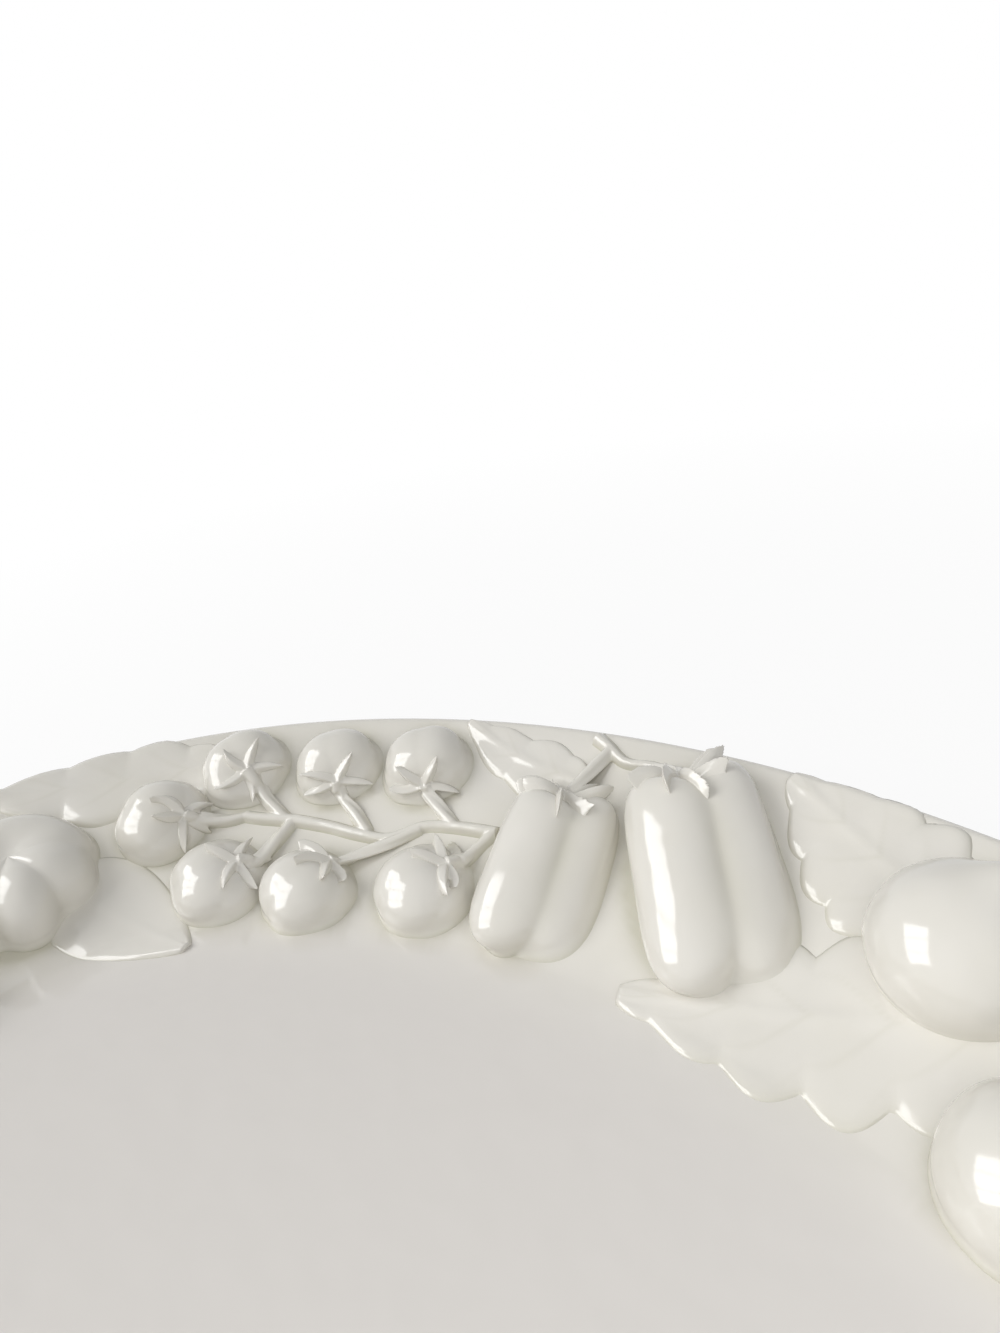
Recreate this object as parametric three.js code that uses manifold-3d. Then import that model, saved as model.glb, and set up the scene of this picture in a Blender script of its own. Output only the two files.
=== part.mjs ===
// An oval serving platter with a garland of vegetables in relief round its rim.
// Glazed earthenware. The platter is one moulding; every vegetable, stem and leaf is a sprig,
// a piece of clay pressed apart from it and luted to the rim with a thin layer of slip.
// Millimetres, +Z up. Origin in the middle of the plane the foot stands on, +X along the oval.
import * as THREE from "three";
import { mergeVertices } from "three/addons/utils/BufferGeometryUtils.js";
import Module from "manifold-3d";

const wasm = await Module();
wasm.setup();

// The platter
const LENGTH = 466; // over the rim, along X
const WIDTH = 346; // over the rim, along Y
const RIM_WIDTH = 75; // from the well's edge to the outer edge, in plan
const RIM_RISE = 27.4; // from the well's floor to the outer edge
const RIM_CURVE = 1.25; // 1 is a straight slope, more is a hollow one
const WALL = 6; // clay of floor and rim
const FOOT_HEIGHT = 5;
const FOOT_WIDTH = 8;
const FOOT_INSET = 12; // from the well's edge in to the foot, in plan
const SLIP = 0.45; // between any two pieces
const ROUND = 48; // facets round the oval
const RIM_STEPS = 5; // facets across the rim

// The stems and leaves
const VINE_RADIUS = 2.1;
const STALK_RADIUS = 1.6;
const BRANCH_RADIUS = 2.6;
const TUBE_SIDES = 6;
const SEPALS = 5;
const SEPAL_CLAY = 1.8; // of a calyx, from the fruit's skin
const NOTCH = 0.22; // of a calyx, from its middle, of its spread
const LEAF_CLAY = 1.7; // at the leaf's middle
const MIDRIB = 0.8; // above the blade
const TOOTH = 0.09; // depth of a leaf's lobes, of its half breadth

// The fruits, as unit balls with their axis up, and how they lie on the rim.
// Furrow: the turn at which one furrow runs, in degrees; half a turn is on top when the fruit lies down.
// Nod: how far the stem is off the axis, towards the top. Lean: how far the axis is tipped over.
const PLAIN = { lobes: 0, groove: 0, furrow: 180, taper: 0, dimple: 0, nod: 0, neck: 0, around: 12, down: 6 };
const TOMATO = {
  ...PLAIN, lobes: 4, groove: 0.04, block: 2.2, taper: 0.03, dimple: 0.16,
  deep: 0.86, lean: 52, relief: 0.72, lift: 0.08,
};
const PEPPER = {
  ...PLAIN, lobes: 3, groove: 0.2, furrow: 200, block: 3.6, taper: 0.05, dimple: 0.2, nod: 24,
  lean: 80, relief: 0.74, lift: 0.12, around: 18, down: 7,
};
const SQUASH = {
  ...PLAIN, lobes: 7, groove: 0.14, furrow: 189, block: 2.2, dimple: 0.3,
  deep: 0.84, lean: 12, relief: 0.74, lift: 0.12, around: 21,
};
const ONION = { ...PLAIN, block: 2, neck: 0.22, deep: 0.94, lean: 50, relief: 0.82, lift: 0.12 };

// Where they sit. Station: degrees round the oval. Across: out from the well's edge, of the rim's width.
// Heading: where the axis leans, from the right hand of someone looking outwards, anticlockwise.
const FRUITS = {
  tomato_1: { ...TOMATO, station: 148.2, across: 0.542, radius: 15.2, heading: -20 },
  tomato_2: { ...TOMATO, station: 138.4, across: 0.744, radius: 14.6, heading: -56, lean: 36 },
  tomato_3: { ...TOMATO, station: 128.3, across: 0.72, radius: 14.2, heading: -70, lean: 57 },
  tomato_4: { ...TOMATO, station: 119.1, across: 0.728, radius: 14.4, heading: -72, lean: 64 },
  tomato_5: { ...TOMATO, station: 142.1, across: 0.197, radius: 14.9, heading: 20, lean: 46 },
  tomato_6: { ...TOMATO, station: 130.4, across: 0.13, radius: 14.9, heading: 50, lean: 58 },
  tomato_7: { ...TOMATO, station: 116.5, across: 0.178, radius: 15, heading: 45 },
  pepper_1: {
    ...PEPPER, station: 104.9, across: 0.365, radius: 18, deep: 1.46, heading: 89, furrow: 216, nod: 18,
  },
  pepper_2: {
    ...PEPPER, station: 91.8, across: 0.499, radius: 20.4, deep: 1.62, heading: 124, furrow: 209, nod: 16,
  },
  pepper_3: { ...PEPPER, station: 202, across: 0.467, radius: 19.5, deep: 1.5, heading: 75 },
  squash_1: { ...SQUASH, station: 166.6, across: 0.445, radius: 24.6, heading: 60 },
  squash_2: { ...SQUASH, station: 221.5, across: 0.47, radius: 24.6, heading: 150 },
  onion_1: { ...ONION, station: 73.9, across: 0.61, radius: 20.5, heading: 70 },
  onion_2: { ...ONION, station: 61.8, across: 0.192, radius: 18, heading: 40 },
  onion_3: { ...ONION, station: 185.5, across: 0.206, radius: 17.5, heading: 150 },
};

// Stems, as points of station and across. A stalk runs from the calyx of its fruit along its points.
const VINE = [[138.5, 0.509], [133.5, 0.47], [128.5, 0.432], [123, 0.394], [117.5, 0.461], [110.6, 0.466]];
const VINE_STALKS = [
  { fruit: "tomato_1", along: [[138.3, 0.509]], calyx: 0.78 },
  { fruit: "tomato_2", along: [[133.8, 0.475]], calyx: 0.8 },
  { fruit: "tomato_3", along: [[124.2, 0.408]], calyx: 0.8 },
  { fruit: "tomato_4", along: [[115, 0.466]], calyx: 0.8 },
  { fruit: "tomato_5", along: [[133, 0.461]], calyx: 0.75 },
  { fruit: "tomato_6", along: [[118.5, 0.442]], calyx: 0.78 },
  { fruit: "tomato_7", along: [[112.1, 0.384], [111, 0.456]], calyx: 0.75 },
];
const FORK = [[104.3, 0.93], [101.5, 0.87], [98.6, 0.848]];
const FORK_STALKS = [
  { fruit: "pepper_1", along: [[102.8, 0.898]], calyx: 0.72 },
  { fruit: "pepper_2", along: [[98.8, 0.85]], calyx: 0.64 },
];
const SPUR = [[200, 0.92], [198.5, 0.85]];
const SPUR_STALKS = [{ fruit: "pepper_3", along: [[198.8, 0.86]], calyx: 0.6 }];

// Leaves, from stalk to tip
const LEAVES = {
  leaf_1: { base: [104.5, 0.73], tip: [115.8, 0.94], breadth: 19, bend: 2, teeth: 3 },
  leaf_2: { base: [76, 0.672], tip: [89, 0.94], breadth: 35, bend: 0, teeth: 4 },
  leaf_3: { base: [67.5, 0.507], tip: [93.4, 0.019], breadth: 41, bend: 0, teeth: 5 },
  leaf_4: { base: [161.4, 0.39], tip: [146.6, -0.115], breadth: 33, bend: 0, teeth: 0 },
  leaf_5: { base: [141.5, 0.79], tip: [167.5, 0.98], breadth: 30, bend: 0, teeth: 4 },
  leaf_6: { base: [178, 0.693], tip: [194, 0.91], breadth: 30, bend: 3, teeth: 5 },
  leaf_7: { base: [212, 0.32], tip: [190, 0], breadth: 34, bend: -3, teeth: 5 },
  leaf_8: { base: [209, 0.79], tip: [231, 0.885], breadth: 24, bend: -3, teeth: 5 },
};

// The rim every sprig is laid on. A ring of half width r is STRETCH longer than it is wide.
const STRETCH = (LENGTH - WIDTH) / 2;
const WELL = WIDTH / 2 - RIM_WIDTH;
const CORE = WELL - FOOT_INSET - FOOT_WIDTH - WALL;
const FLOOR = FOOT_HEIGHT + WALL;
const LIP = WALL / 2;

function reach(r) {
  return r < CORE ? r * (1 + STRETCH / CORE) : r + STRETCH;
}

function rise(r) {
  return FLOOR + RIM_RISE * (Math.max(r - WELL, 0) / RIM_WIDTH) ** RIM_CURVE;
}

function slope(r) {
  return Math.atan(rise(r + 0.5) - rise(r - 0.5));
}

// Half width of the ring through a point.
function ringThrough(x, y) {
  let low = CORE;
  let high = WIDTH;
  for (let i = 0; i < 30; i += 1) {
    const r = (low + high) / 2;
    if ((x / reach(r)) ** 2 + (y / r) ** 2 > 1) low = r;
    else high = r;
  }
  return low;
}

function onRim([station, across], lift = 0) {
  const angle = THREE.MathUtils.degToRad(station);
  const r = WELL + across * RIM_WIDTH;
  return new THREE.Vector3(reach(r) * Math.cos(angle), r * Math.sin(angle), rise(r) + lift);
}

// A frame on the rim: X to the right of someone looking outwards, Y uphill, Z off the surface.
function rimFrame(station, across) {
  const angle = THREE.MathUtils.degToRad(station);
  const r = WELL + across * RIM_WIDTH;
  const right = new THREE.Vector3(reach(r) * Math.sin(angle), -r * Math.cos(angle), 0).normalize();
  const pitch = slope(r);
  const uphill = new THREE.Vector3(-right.y, right.x, 0).multiplyScalar(Math.cos(pitch));
  uphill.z = Math.sin(pitch);
  const normal = new THREE.Vector3().crossVectors(right, uphill);
  return new THREE.Matrix4().makeBasis(right, uphill, normal).setPosition(onRim([station, across]));
}

// Moves every point of a geometry.
function bend(geometry, move) {
  const position = geometry.attributes.position;
  const point = new THREE.Vector3();
  for (let i = 0; i < position.count; i += 1) {
    move(point.fromBufferAttribute(position, i));
    position.setXYZ(i, point.x, point.y, point.z);
  }
  return geometry;
}

function solid(geometry) {
  geometry.deleteAttribute("normal");
  geometry.deleteAttribute("uv");
  const merged = mergeVertices(geometry, 1e-3);
  const corners = merged.index.array;
  const triVerts = [];
  for (let i = 0; i < corners.length; i += 3) {
    const [a, b, c] = [corners[i], corners[i + 1], corners[i + 2]];
    if (a !== b && b !== c && c !== a) triVerts.push(a, b, c);
  }
  return new wasm.Manifold(new wasm.Mesh({
    numProp: 3,
    vertProperties: merged.attributes.position.array,
    triVerts: new Uint32Array(triVerts),
  }));
}

function together(solids) {
  return wasm.Manifold.union(solids);
}

// A profile turned about Z and stretched to the oval.
function oval(profile) {
  const geometry = new THREE.LatheGeometry(profile, ROUND);
  geometry.rotateX(Math.PI / 2);
  bend(geometry, (point) => {
    const r = Math.hypot(point.x, point.y);
    if (r > 1e-6) point.x *= reach(r) / r;
  });
  return solid(geometry);
}

// Where the rim's top face ends and the rounded lip begins, so that the lip ends at the width.
let lipStart = WIDTH / 2 - LIP;
for (let i = 0; i < 5; i += 1) lipStart = WIDTH / 2 - LIP * (1 + Math.sin(slope(lipStart)));

// Rings across the rim, closer together where it curves up from the well.
function rimStep(i) {
  return THREE.MathUtils.lerp(WELL, lipStart, (i / RIM_STEPS) ** 1.5);
}

function topProfile(lift) {
  const points = [new THREE.Vector2(0, FLOOR + lift), new THREE.Vector2(CORE, FLOOR + lift)];
  for (let i = 0; i <= RIM_STEPS; i += 1) {
    const r = rimStep(i);
    points.push(new THREE.Vector2(r, rise(r) + lift));
  }
  return points;
}

function platterBody() {
  const profile = topProfile(0);
  const pitch = slope(lipStart);
  const middle = new THREE.Vector2(lipStart + LIP * Math.sin(pitch), rise(lipStart) - LIP * Math.cos(pitch));
  for (let i = 1; i <= 4; i += 1) {
    const angle = pitch + Math.PI * (0.5 - i / 5);
    profile.push(new THREE.Vector2(middle.x + LIP * Math.cos(angle), middle.y + LIP * Math.sin(angle)));
  }
  for (let i = RIM_STEPS; i >= 0; i -= 1) {
    const r = rimStep(i);
    profile.push(new THREE.Vector2(r + WALL * Math.sin(slope(r)), rise(r) - WALL * Math.cos(slope(r))));
  }
  const footOut = WELL - FOOT_INSET;
  const footIn = footOut - FOOT_WIDTH;
  const ease = FOOT_HEIGHT / 4;
  profile.push(
    new THREE.Vector2(footOut + ease, FOOT_HEIGHT),
    new THREE.Vector2(footOut, ease),
    new THREE.Vector2(footOut - ease, 0),
    new THREE.Vector2(footIn + ease, 0),
    new THREE.Vector2(footIn, ease),
    new THREE.Vector2(footIn - ease, FOOT_HEIGHT),
    new THREE.Vector2(0, FOOT_HEIGHT),
  );
  return oval(profile.reverse());
}

// Presses a geometry onto the slip that covers the rim, and in from the lip.
function press(geometry) {
  return solid(bend(geometry.clone(), (point) => {
    const r = ringThrough(point.x, point.y);
    if (r > lipStart) point.set(point.x * reach(lipStart) / reach(r), point.y * lipStart / r, point.z);
    point.z = Math.max(point.z, rise(Math.min(r, lipStart)) + SLIP);
  }));
}

// All that lies below the slip or past the lip, to trim the sprigs with.
function mould() {
  const far = WIDTH;
  const profile = topProfile(SLIP);
  profile.push(
    new THREE.Vector2(lipStart, far),
    new THREE.Vector2(far, far),
    new THREE.Vector2(far, -far),
    new THREE.Vector2(0, -far),
  );
  return oval(profile.reverse());
}

const bed = mould();

// A way out from a unit fruit's middle, over its top: 0 at the axis, minus nod at the stem.
function overTop(angle) {
  return new THREE.Vector3(Math.sin(angle), 0, Math.cos(angle));
}

// Distance from a unit fruit's middle to its skin.
function skin({ lobes, groove, furrow, block, taper, dimple, nod, neck }, way) {
  const sine = Math.hypot(way.x, way.y);
  const boxy = (sine ** block + Math.abs(way.z) ** block) ** (-1 / block);
  const turn = Math.atan2(way.y, way.x) - THREE.MathUtils.degToRad(furrow);
  const valley = groove * sine * (1 - Math.abs(Math.sin(lobes * turn / 2)));
  const tilt = way.angleTo(overTop(-THREE.MathUtils.degToRad(nod)));
  const crown = 1 - dimple * Math.exp(-((tilt / 0.45) ** 2)) + neck * Math.exp(-((tilt / 0.3) ** 2));
  return boxy * (1 - valley) * crown * (1 + taper * way.z);
}

// Takes a unit fruit to its place: sized, leant over, pressed flatter and set on the rim.
function setting({ station, across, radius, deep, lean, heading, relief, lift }) {
  const turn = THREE.MathUtils.degToRad;
  return rimFrame(station, across)
    .multiply(new THREE.Matrix4().makeTranslation(0, 0, lift * radius))
    .multiply(new THREE.Matrix4().makeScale(1, 1, relief))
    .multiply(new THREE.Matrix4().makeRotationZ(turn(heading)))
    .multiply(new THREE.Matrix4().makeRotationY(turn(lean)))
    .multiply(new THREE.Matrix4().makeScale(radius, radius, radius * deep));
}

function fruit(spec, grow) {
  const seam = THREE.MathUtils.degToRad(spec.furrow - 180);
  const geometry = new THREE.SphereGeometry(1, spec.around, spec.down, seam);
  geometry.rotateX(Math.PI / 2);
  bend(geometry, (point) => {
    point.normalize();
    point.multiplyScalar(skin(spec, point) + grow / spec.radius);
  });
  const whole = solid(geometry.applyMatrix4(setting(spec)));
  return grow ? whole : whole.subtract(bed);
}

function tube(points, radius) {
  const ring = new THREE.Shape();
  ring.absarc(0, 0, radius, 0, 2 * Math.PI);
  const geometry = new THREE.ExtrudeGeometry(ring, {
    curveSegments: TUBE_SIDES / 2,
    steps: points.length - 1,
    extrudePath: new THREE.CatmullRomCurve3(points),
  });
  return solid(geometry);
}

// A star of sepals wrapped on its fruit. Its underside is in the fruit, which trims it.
function calyx(spec, spread, grow) {
  const swell = grow / spec.radius;
  const corners = [];
  for (let i = 0; i < 2 * SEPALS; i += 1) {
    const out = spread * (i % 2 ? NOTCH : 1) + swell;
    const angle = Math.PI * i / SEPALS;
    corners.push(new THREE.Vector2(out * Math.cos(angle), out * Math.sin(angle)));
  }
  const geometry = new THREE.ExtrudeGeometry(new THREE.Shape(corners), { depth: 1, bevelEnabled: false });
  const upright = new THREE.Vector3(0, 1, 0);
  const nod = THREE.MathUtils.degToRad(spec.nod);
  bend(geometry, (point) => {
    const tilt = Math.hypot(point.x, point.y);
    const turn = Math.atan2(point.y, point.x);
    const layer = point.z ? SEPAL_CLAY / spec.radius + swell : -SEPAL_CLAY / spec.radius - swell;
    point.set(Math.sin(tilt) * Math.cos(turn), Math.sin(tilt) * Math.sin(turn), Math.cos(tilt));
    point.applyAxisAngle(upright, -nod);
    point.multiplyScalar(skin(spec, point) + layer);
  });
  return solid(geometry.applyMatrix4(setting(spec)));
}

// A stalk from the calyx over the fruit's shoulder, share 0 to 1, down to the rim.
function shoulder(spec, share) {
  const angle = share * (90 - spec.lean) + (share - 1) * spec.nod;
  const way = overTop(THREE.MathUtils.degToRad(angle));
  way.multiplyScalar(skin(spec, way) + STALK_RADIUS / 2 / spec.radius);
  return way.applyMatrix4(setting(spec));
}

// A stem along the rim, with a stalk and a calyx for each fruit it carries.
function stem(route, radius, stalks, grow) {
  const pieces = [tube(route.map((point) => onRim(point, radius / 2)), radius + grow)];
  for (const { fruit: name, along, calyx: spread } of stalks) {
    const spec = FRUITS[name];
    const over = [0, 0.5, 1].map((share) => shoulder(spec, share));
    const down = along.map((point) => onRim(point, radius / 2));
    pieces.push(calyx(spec, spread, grow));
    pieces.push(tube([...over, ...down], STALK_RADIUS + grow));
  }
  const whole = together(pieces);
  return grow ? whole : whole.subtract(bed);
}

function leaf({ base, tip, breadth, bend: bow, teeth }, grow) {
  const from = onRim(base);
  const way = onRim(tip).sub(from).setZ(0);
  const long = way.length();
  way.normalize();
  const side = new THREE.Vector3(-way.y, way.x, 0);
  const geometry = new THREE.BoxGeometry(1, 1, 1, Math.max(2 * teeth, 6), 2, 1);
  bend(geometry, (point) => {
    const u = point.x + 0.5;
    const v = 2 * point.y;
    const outline = Math.sin(Math.PI * (0.04 + 0.93 * u) ** 0.65) ** 0.75;
    const lobe = 2 * Math.abs(Math.cos(Math.PI * teeth * u)) - 1;
    const half = breadth / 2 * outline * (1 + TOOTH * lobe) + grow;
    const top = point.z > 0;
    const clay = LEAF_CLAY * (1 - 0.35 * v * v) + (Math.abs(v) < 0.1 ? MIDRIB : 0) + grow;
    point.copy(from);
    point.addScaledVector(way, u * (long + 2 * grow) - grow);
    point.addScaledVector(side, v * half + bow * Math.sin(Math.PI * u));
    point.z = rise(ringThrough(point.x, point.y)) + (top ? SLIP + clay : -LIP);
  });
  return grow ? press(geometry).add(solid(geometry)) : press(geometry);
}

// Lays the sprigs one after another, each trimmed to those already laid.
const laid = [];
const sprigs = [];

function biggest(piece) {
  return piece.decompose().reduce((best, part) => (part.volume() > best.volume() ? part : best));
}

function lay(name, frame, make) {
  const trimmed = make(0).subtract(together(laid));
  laid.push(make(SLIP));
  sprigs.push({ name, piece: biggest(trimmed), frame });
}

for (const [name, spec] of Object.entries(FRUITS)) {
  lay(name, rimFrame(spec.station, spec.across), (grow) => fruit(spec, grow));
}
lay("tomato_vine", rimFrame(...VINE[0]), (grow) => stem(VINE, VINE_RADIUS, VINE_STALKS, grow));
lay("pepper_fork", rimFrame(...FORK[0]), (grow) => stem(FORK, BRANCH_RADIUS, FORK_STALKS, grow));
lay("pepper_spur", rimFrame(...SPUR[0]), (grow) => stem(SPUR, BRANCH_RADIUS, SPUR_STALKS, grow));
for (const [name, spec] of Object.entries(LEAVES)) {
  lay(name, rimFrame(...spec.base), (grow) => leaf(spec, grow));
}

function geometryOf(piece) {
  const mesh = piece.getMesh();
  const geometry = new THREE.BufferGeometry();
  geometry.setAttribute("position", new THREE.BufferAttribute(new Float32Array(mesh.vertProperties), 3));
  geometry.setIndex(new THREE.BufferAttribute(new Uint32Array(mesh.triVerts), 1));
  geometry.computeVertexNormals();
  return geometry;
}

const glaze = new THREE.MeshStandardMaterial({ color: 0xece8dc, roughness: 0.18, metalness: 0 });

const platter = new THREE.Group();
platter.name = "oval_platter";
const body = new THREE.Mesh(geometryOf(platterBody()), glaze);
body.name = "platter_body";
platter.add(body);

// The garland goes round in two equal halves, half a turn apart.
for (const [half, turn] of [["back", 0], ["front", Math.PI]]) {
  const garland = new THREE.Group();
  garland.name = `${half}_garland`;
  garland.rotation.z = turn;
  for (const { name, piece, frame } of sprigs) {
    const sprig = new THREE.Mesh(geometryOf(piece).applyMatrix4(frame.clone().invert()), glaze);
    sprig.name = `${half}_${name}`;
    sprig.applyMatrix4(frame);
    garland.add(sprig);
  }
  platter.add(garland);
}

export default platter;
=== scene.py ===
# %% [markdown]
# # An oval platter with vegetables in relief
# The real platter is cream-glazed earthenware. A plain oval well sits inside a wide rim, and the rim
# carries a garland of sprigs: vegetables, stems and leaves that were pressed in small moulds and luted
# on with slip. The glaze runs into every joint, so the sprigs look grown into the rim.
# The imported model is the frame: every piece here takes the place of one of its nodes.

# %% Load the frame
from math import atan, atan2, cos, exp, hypot, pi, radians, sin

import bmesh
import bpy
from mathutils import Matrix, Quaternion, Vector, noise


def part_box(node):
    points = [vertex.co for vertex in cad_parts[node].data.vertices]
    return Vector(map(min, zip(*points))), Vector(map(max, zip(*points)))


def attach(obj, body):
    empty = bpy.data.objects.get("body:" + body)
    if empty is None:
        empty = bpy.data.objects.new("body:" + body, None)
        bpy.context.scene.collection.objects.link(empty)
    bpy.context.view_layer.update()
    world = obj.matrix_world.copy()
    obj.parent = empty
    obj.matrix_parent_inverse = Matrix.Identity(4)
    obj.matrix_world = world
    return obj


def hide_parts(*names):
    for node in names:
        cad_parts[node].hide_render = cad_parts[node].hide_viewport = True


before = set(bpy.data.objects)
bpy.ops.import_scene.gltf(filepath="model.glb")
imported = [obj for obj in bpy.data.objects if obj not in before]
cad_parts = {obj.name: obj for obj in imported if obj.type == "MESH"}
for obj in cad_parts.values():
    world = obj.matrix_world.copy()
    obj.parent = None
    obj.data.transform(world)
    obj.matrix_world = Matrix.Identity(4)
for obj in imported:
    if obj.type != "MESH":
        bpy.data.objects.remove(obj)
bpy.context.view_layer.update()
print("nodes in the frame:", len(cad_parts))

# %% [markdown]
# ## The rim, as a formula
# Every sprig lies on the rim, so the rim comes first, as a height over the plan. A ring of half width r
# is longer than wide by the same amount all the way out, which keeps the rim equally wide all round. Past
# the well's edge the rim rises in a shallow hollow. Sprigs could also be dropped on the finished mesh by
# casting rays, but a formula gives height and slope anywhere and is exact. Sizes are in metres.

# %% Rim sizes
MM = 0.001
body_low, body_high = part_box("platter_body")
LENGTH = body_high[0] - body_low[0]
WIDTH = body_high[1] - body_low[1]
RIM_WIDTH = 0.075
RIM_RISE = 0.0274
RIM_CURVE = 1.25
WALL = 0.006
FOOT_HEIGHT = 0.005
FOOT_WIDTH = 0.008
FOOT_INSET = 0.012

STRETCH = (LENGTH - WIDTH) / 2
WELL = WIDTH / 2 - RIM_WIDTH
CORE = WELL - FOOT_INSET - FOOT_WIDTH - WALL
FLOOR = FOOT_HEIGHT + WALL
LIP = WALL / 2
print("platter:", round(LENGTH, 4), "by", round(WIDTH, 4), "well half width:", round(WELL, 4))

# %% Rim formulas
HALVINGS = 26
LIP_ROUNDS = 5


def reach(r):
    """Half length of the ring of half width r. Inside the core the rings shrink to the middle point."""
    return r * (1 + STRETCH / CORE) if r < CORE else r + STRETCH


def rise(r):
    return FLOOR + RIM_RISE * (max(r - WELL, 0.0) / RIM_WIDTH) ** RIM_CURVE


def slope(r):
    return atan((rise(r + 0.5 * MM) - rise(r - 0.5 * MM)) / MM)


def ring_through(x, y):
    """Half width of the ring that runs through a point of the plan, found by halving."""
    low, high = CORE, WIDTH
    for _ in range(HALVINGS):
        r = (low + high) / 2
        if (x / reach(r)) ** 2 + (y / r) ** 2 > 1:
            low = r
        else:
            high = r
    return low


def height_over_rim(point):
    return point.z - rise(ring_through(point.x, point.y))


def on_rim(station, across, lift=0.0):
    r = WELL + across * RIM_WIDTH
    angle = radians(station)
    return Vector((reach(r) * cos(angle), r * sin(angle), rise(r) + lift))


def rim_frame(station, across):
    """X to the right of someone looking outwards, Y uphill, Z off the surface."""
    r = WELL + across * RIM_WIDTH
    angle = radians(station)
    right = Vector((reach(r) * sin(angle), -r * cos(angle), 0)).normalized()
    pitch = slope(r)
    uphill = Vector((-right.y * cos(pitch), right.x * cos(pitch), sin(pitch)))
    place = Matrix((right, uphill, right.cross(uphill))).transposed().to_4x4()
    place.translation = on_rim(station, across)
    return place


# The lip is a half circle square to the slope where it starts, so start and slope are settled together.
lip_start = WIDTH / 2 - LIP
for _ in range(LIP_ROUNDS):
    lip_start = WIDTH / 2 - LIP * (1 + sin(slope(lip_start)))
print("lip starts at:", round(lip_start, 4))

# %% [markdown]
# ## The glaze
# A cream-white glaze over pale clay: glossy, a little warm, and never quite even. It is thick and slightly
# olive in the joints and furrows, and the colour there is also darkened as painted shade, where fruits,
# stems and leaves meet the rim or each other. It is greyer in the well, where knives and spoons have dulled
# it, and the foot is bare. That could be painted on an image, but then every piece would need an unwrapped
# surface. So the pieces carry three attributes, for thick glaze with painted shade, for wear and for bare
# clay, which are worked out from the shape when a piece is made. A noise texture on Object coordinates
# gives the faint clouding, and a bump the soft waviness of a poured glaze.

# %% Glaze values
GLAZE_COLOUR = (0.765, 0.742, 0.695, 1)
CLOUD_COLOUR = (0.735, 0.711, 0.652, 1)
# The colour of thick glaze, also used as painted shade in joints and furrows.
POOL_AND_SHADE_COLOUR = (0.40, 0.385, 0.25, 1)
WORN_COLOUR = (0.70, 0.672, 0.638, 1)
CLAY_COLOUR = (0.60, 0.50, 0.38, 1)
GLAZE_LAYERS = ("pool_and_shade", "worn", "bare")
CLOUD_SCALE, CLOUD_DETAIL = 38, 3
CLOUD_LIMITS = {"From Min": 0.35, "From Max": 0.75}
ROUGHNESS_LIMITS = {"To Min": 0.12, "To Max": 0.85}
WAVE_SCALE, WAVE_DETAIL = 105, 1
WAVE_STRENGTH = 0.35
WAVE_HEIGHT = 0.8 * MM
GLAZE_IOR = 1.65
print("attributes of each piece:", GLAZE_LAYERS)

# %% Glaze material
def add_node(tree, kind, **settings):
    made = tree.nodes.new(kind)
    for name, value in settings.items():
        setattr(made, name, value)
    return made


def add_noise(tree, where, scale, detail):
    made = add_node(tree, "ShaderNodeTexNoise")
    made.inputs["Scale"].default_value = scale
    made.inputs["Detail"].default_value = detail
    tree.links.new(where, made.inputs["Vector"])
    return made.outputs["Fac"]


def mix_colour(tree, factor, first, second):
    """A colour mix. Each end is a colour or another node's output."""
    made = add_node(tree, "ShaderNodeMix", data_type="RGBA")
    tree.links.new(factor, made.inputs[0])
    for end, value in ((6, first), (7, second)):
        if isinstance(value, tuple):
            made.inputs[end].default_value = value
        else:
            tree.links.new(value, made.inputs[end])
    return made.outputs[2]


def remap(tree, value, limits):
    """A value stretched from one range to another. A limit that isn't given stays at 0 or 1."""
    made = add_node(tree, "ShaderNodeMapRange")
    for name, limit in limits.items():
        made.inputs[name].default_value = limit
    tree.links.new(value, made.inputs["Value"])
    return made.outputs["Result"]


def make_glaze():
    glaze = bpy.data.materials.new("cream_glaze")
    glaze.use_nodes = True
    tree = glaze.node_tree
    shader = tree.nodes["Principled BSDF"]
    where = add_node(tree, "ShaderNodeTexCoord").outputs["Object"]
    pool_and_shade, worn, bare = (
        add_node(tree, "ShaderNodeAttribute", attribute_name=name).outputs["Fac"] for name in GLAZE_LAYERS
    )
    cloudy = remap(tree, add_noise(tree, where, CLOUD_SCALE, CLOUD_DETAIL), CLOUD_LIMITS)
    clouded = mix_colour(tree, cloudy, GLAZE_COLOUR, CLOUD_COLOUR)
    # Thick glaze and painted shade darken the joints and furrows.
    pooled_and_shaded = mix_colour(tree, pool_and_shade, clouded, POOL_AND_SHADE_COLOUR)
    used = mix_colour(tree, worn, pooled_and_shaded, WORN_COLOUR)
    tree.links.new(mix_colour(tree, bare, used, CLAY_COLOUR), shader.inputs["Base Color"])
    tree.links.new(remap(tree, bare, ROUGHNESS_LIMITS), shader.inputs["Roughness"])
    bump = add_node(tree, "ShaderNodeBump")
    bump.inputs["Strength"].default_value = WAVE_STRENGTH
    bump.inputs["Distance"].default_value = WAVE_HEIGHT
    tree.links.new(add_noise(tree, where, WAVE_SCALE, WAVE_DETAIL), bump.inputs["Height"])
    tree.links.new(bump.outputs["Normal"], shader.inputs["Normal"])
    shader.inputs["IOR"].default_value = GLAZE_IOR
    return glaze


glaze = make_glaze()
print("material:", glaze.name, "with", len(glaze.node_tree.nodes), "nodes")

# %% [markdown]
# ## From a bmesh to a piece
# Every piece goes the same way: merge doubles, point the faces outwards, shade smooth, and tell the frame
# which node it stands for. The garland is one group of sprigs used twice, half a turn apart. Two objects
# could share one mesh for that, but each piece here has its own place built in, so each sprig is written
# once, turned by half a turn, and written again.

# %% Finishing a piece
HALF_TURN = Matrix.Rotation(pi, 3, "Z")
TINY = 1e-6


def start_piece():
    bm = bmesh.new()
    for name in GLAZE_LAYERS:
        bm.verts.layers.float.new(name)
    return bm


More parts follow.
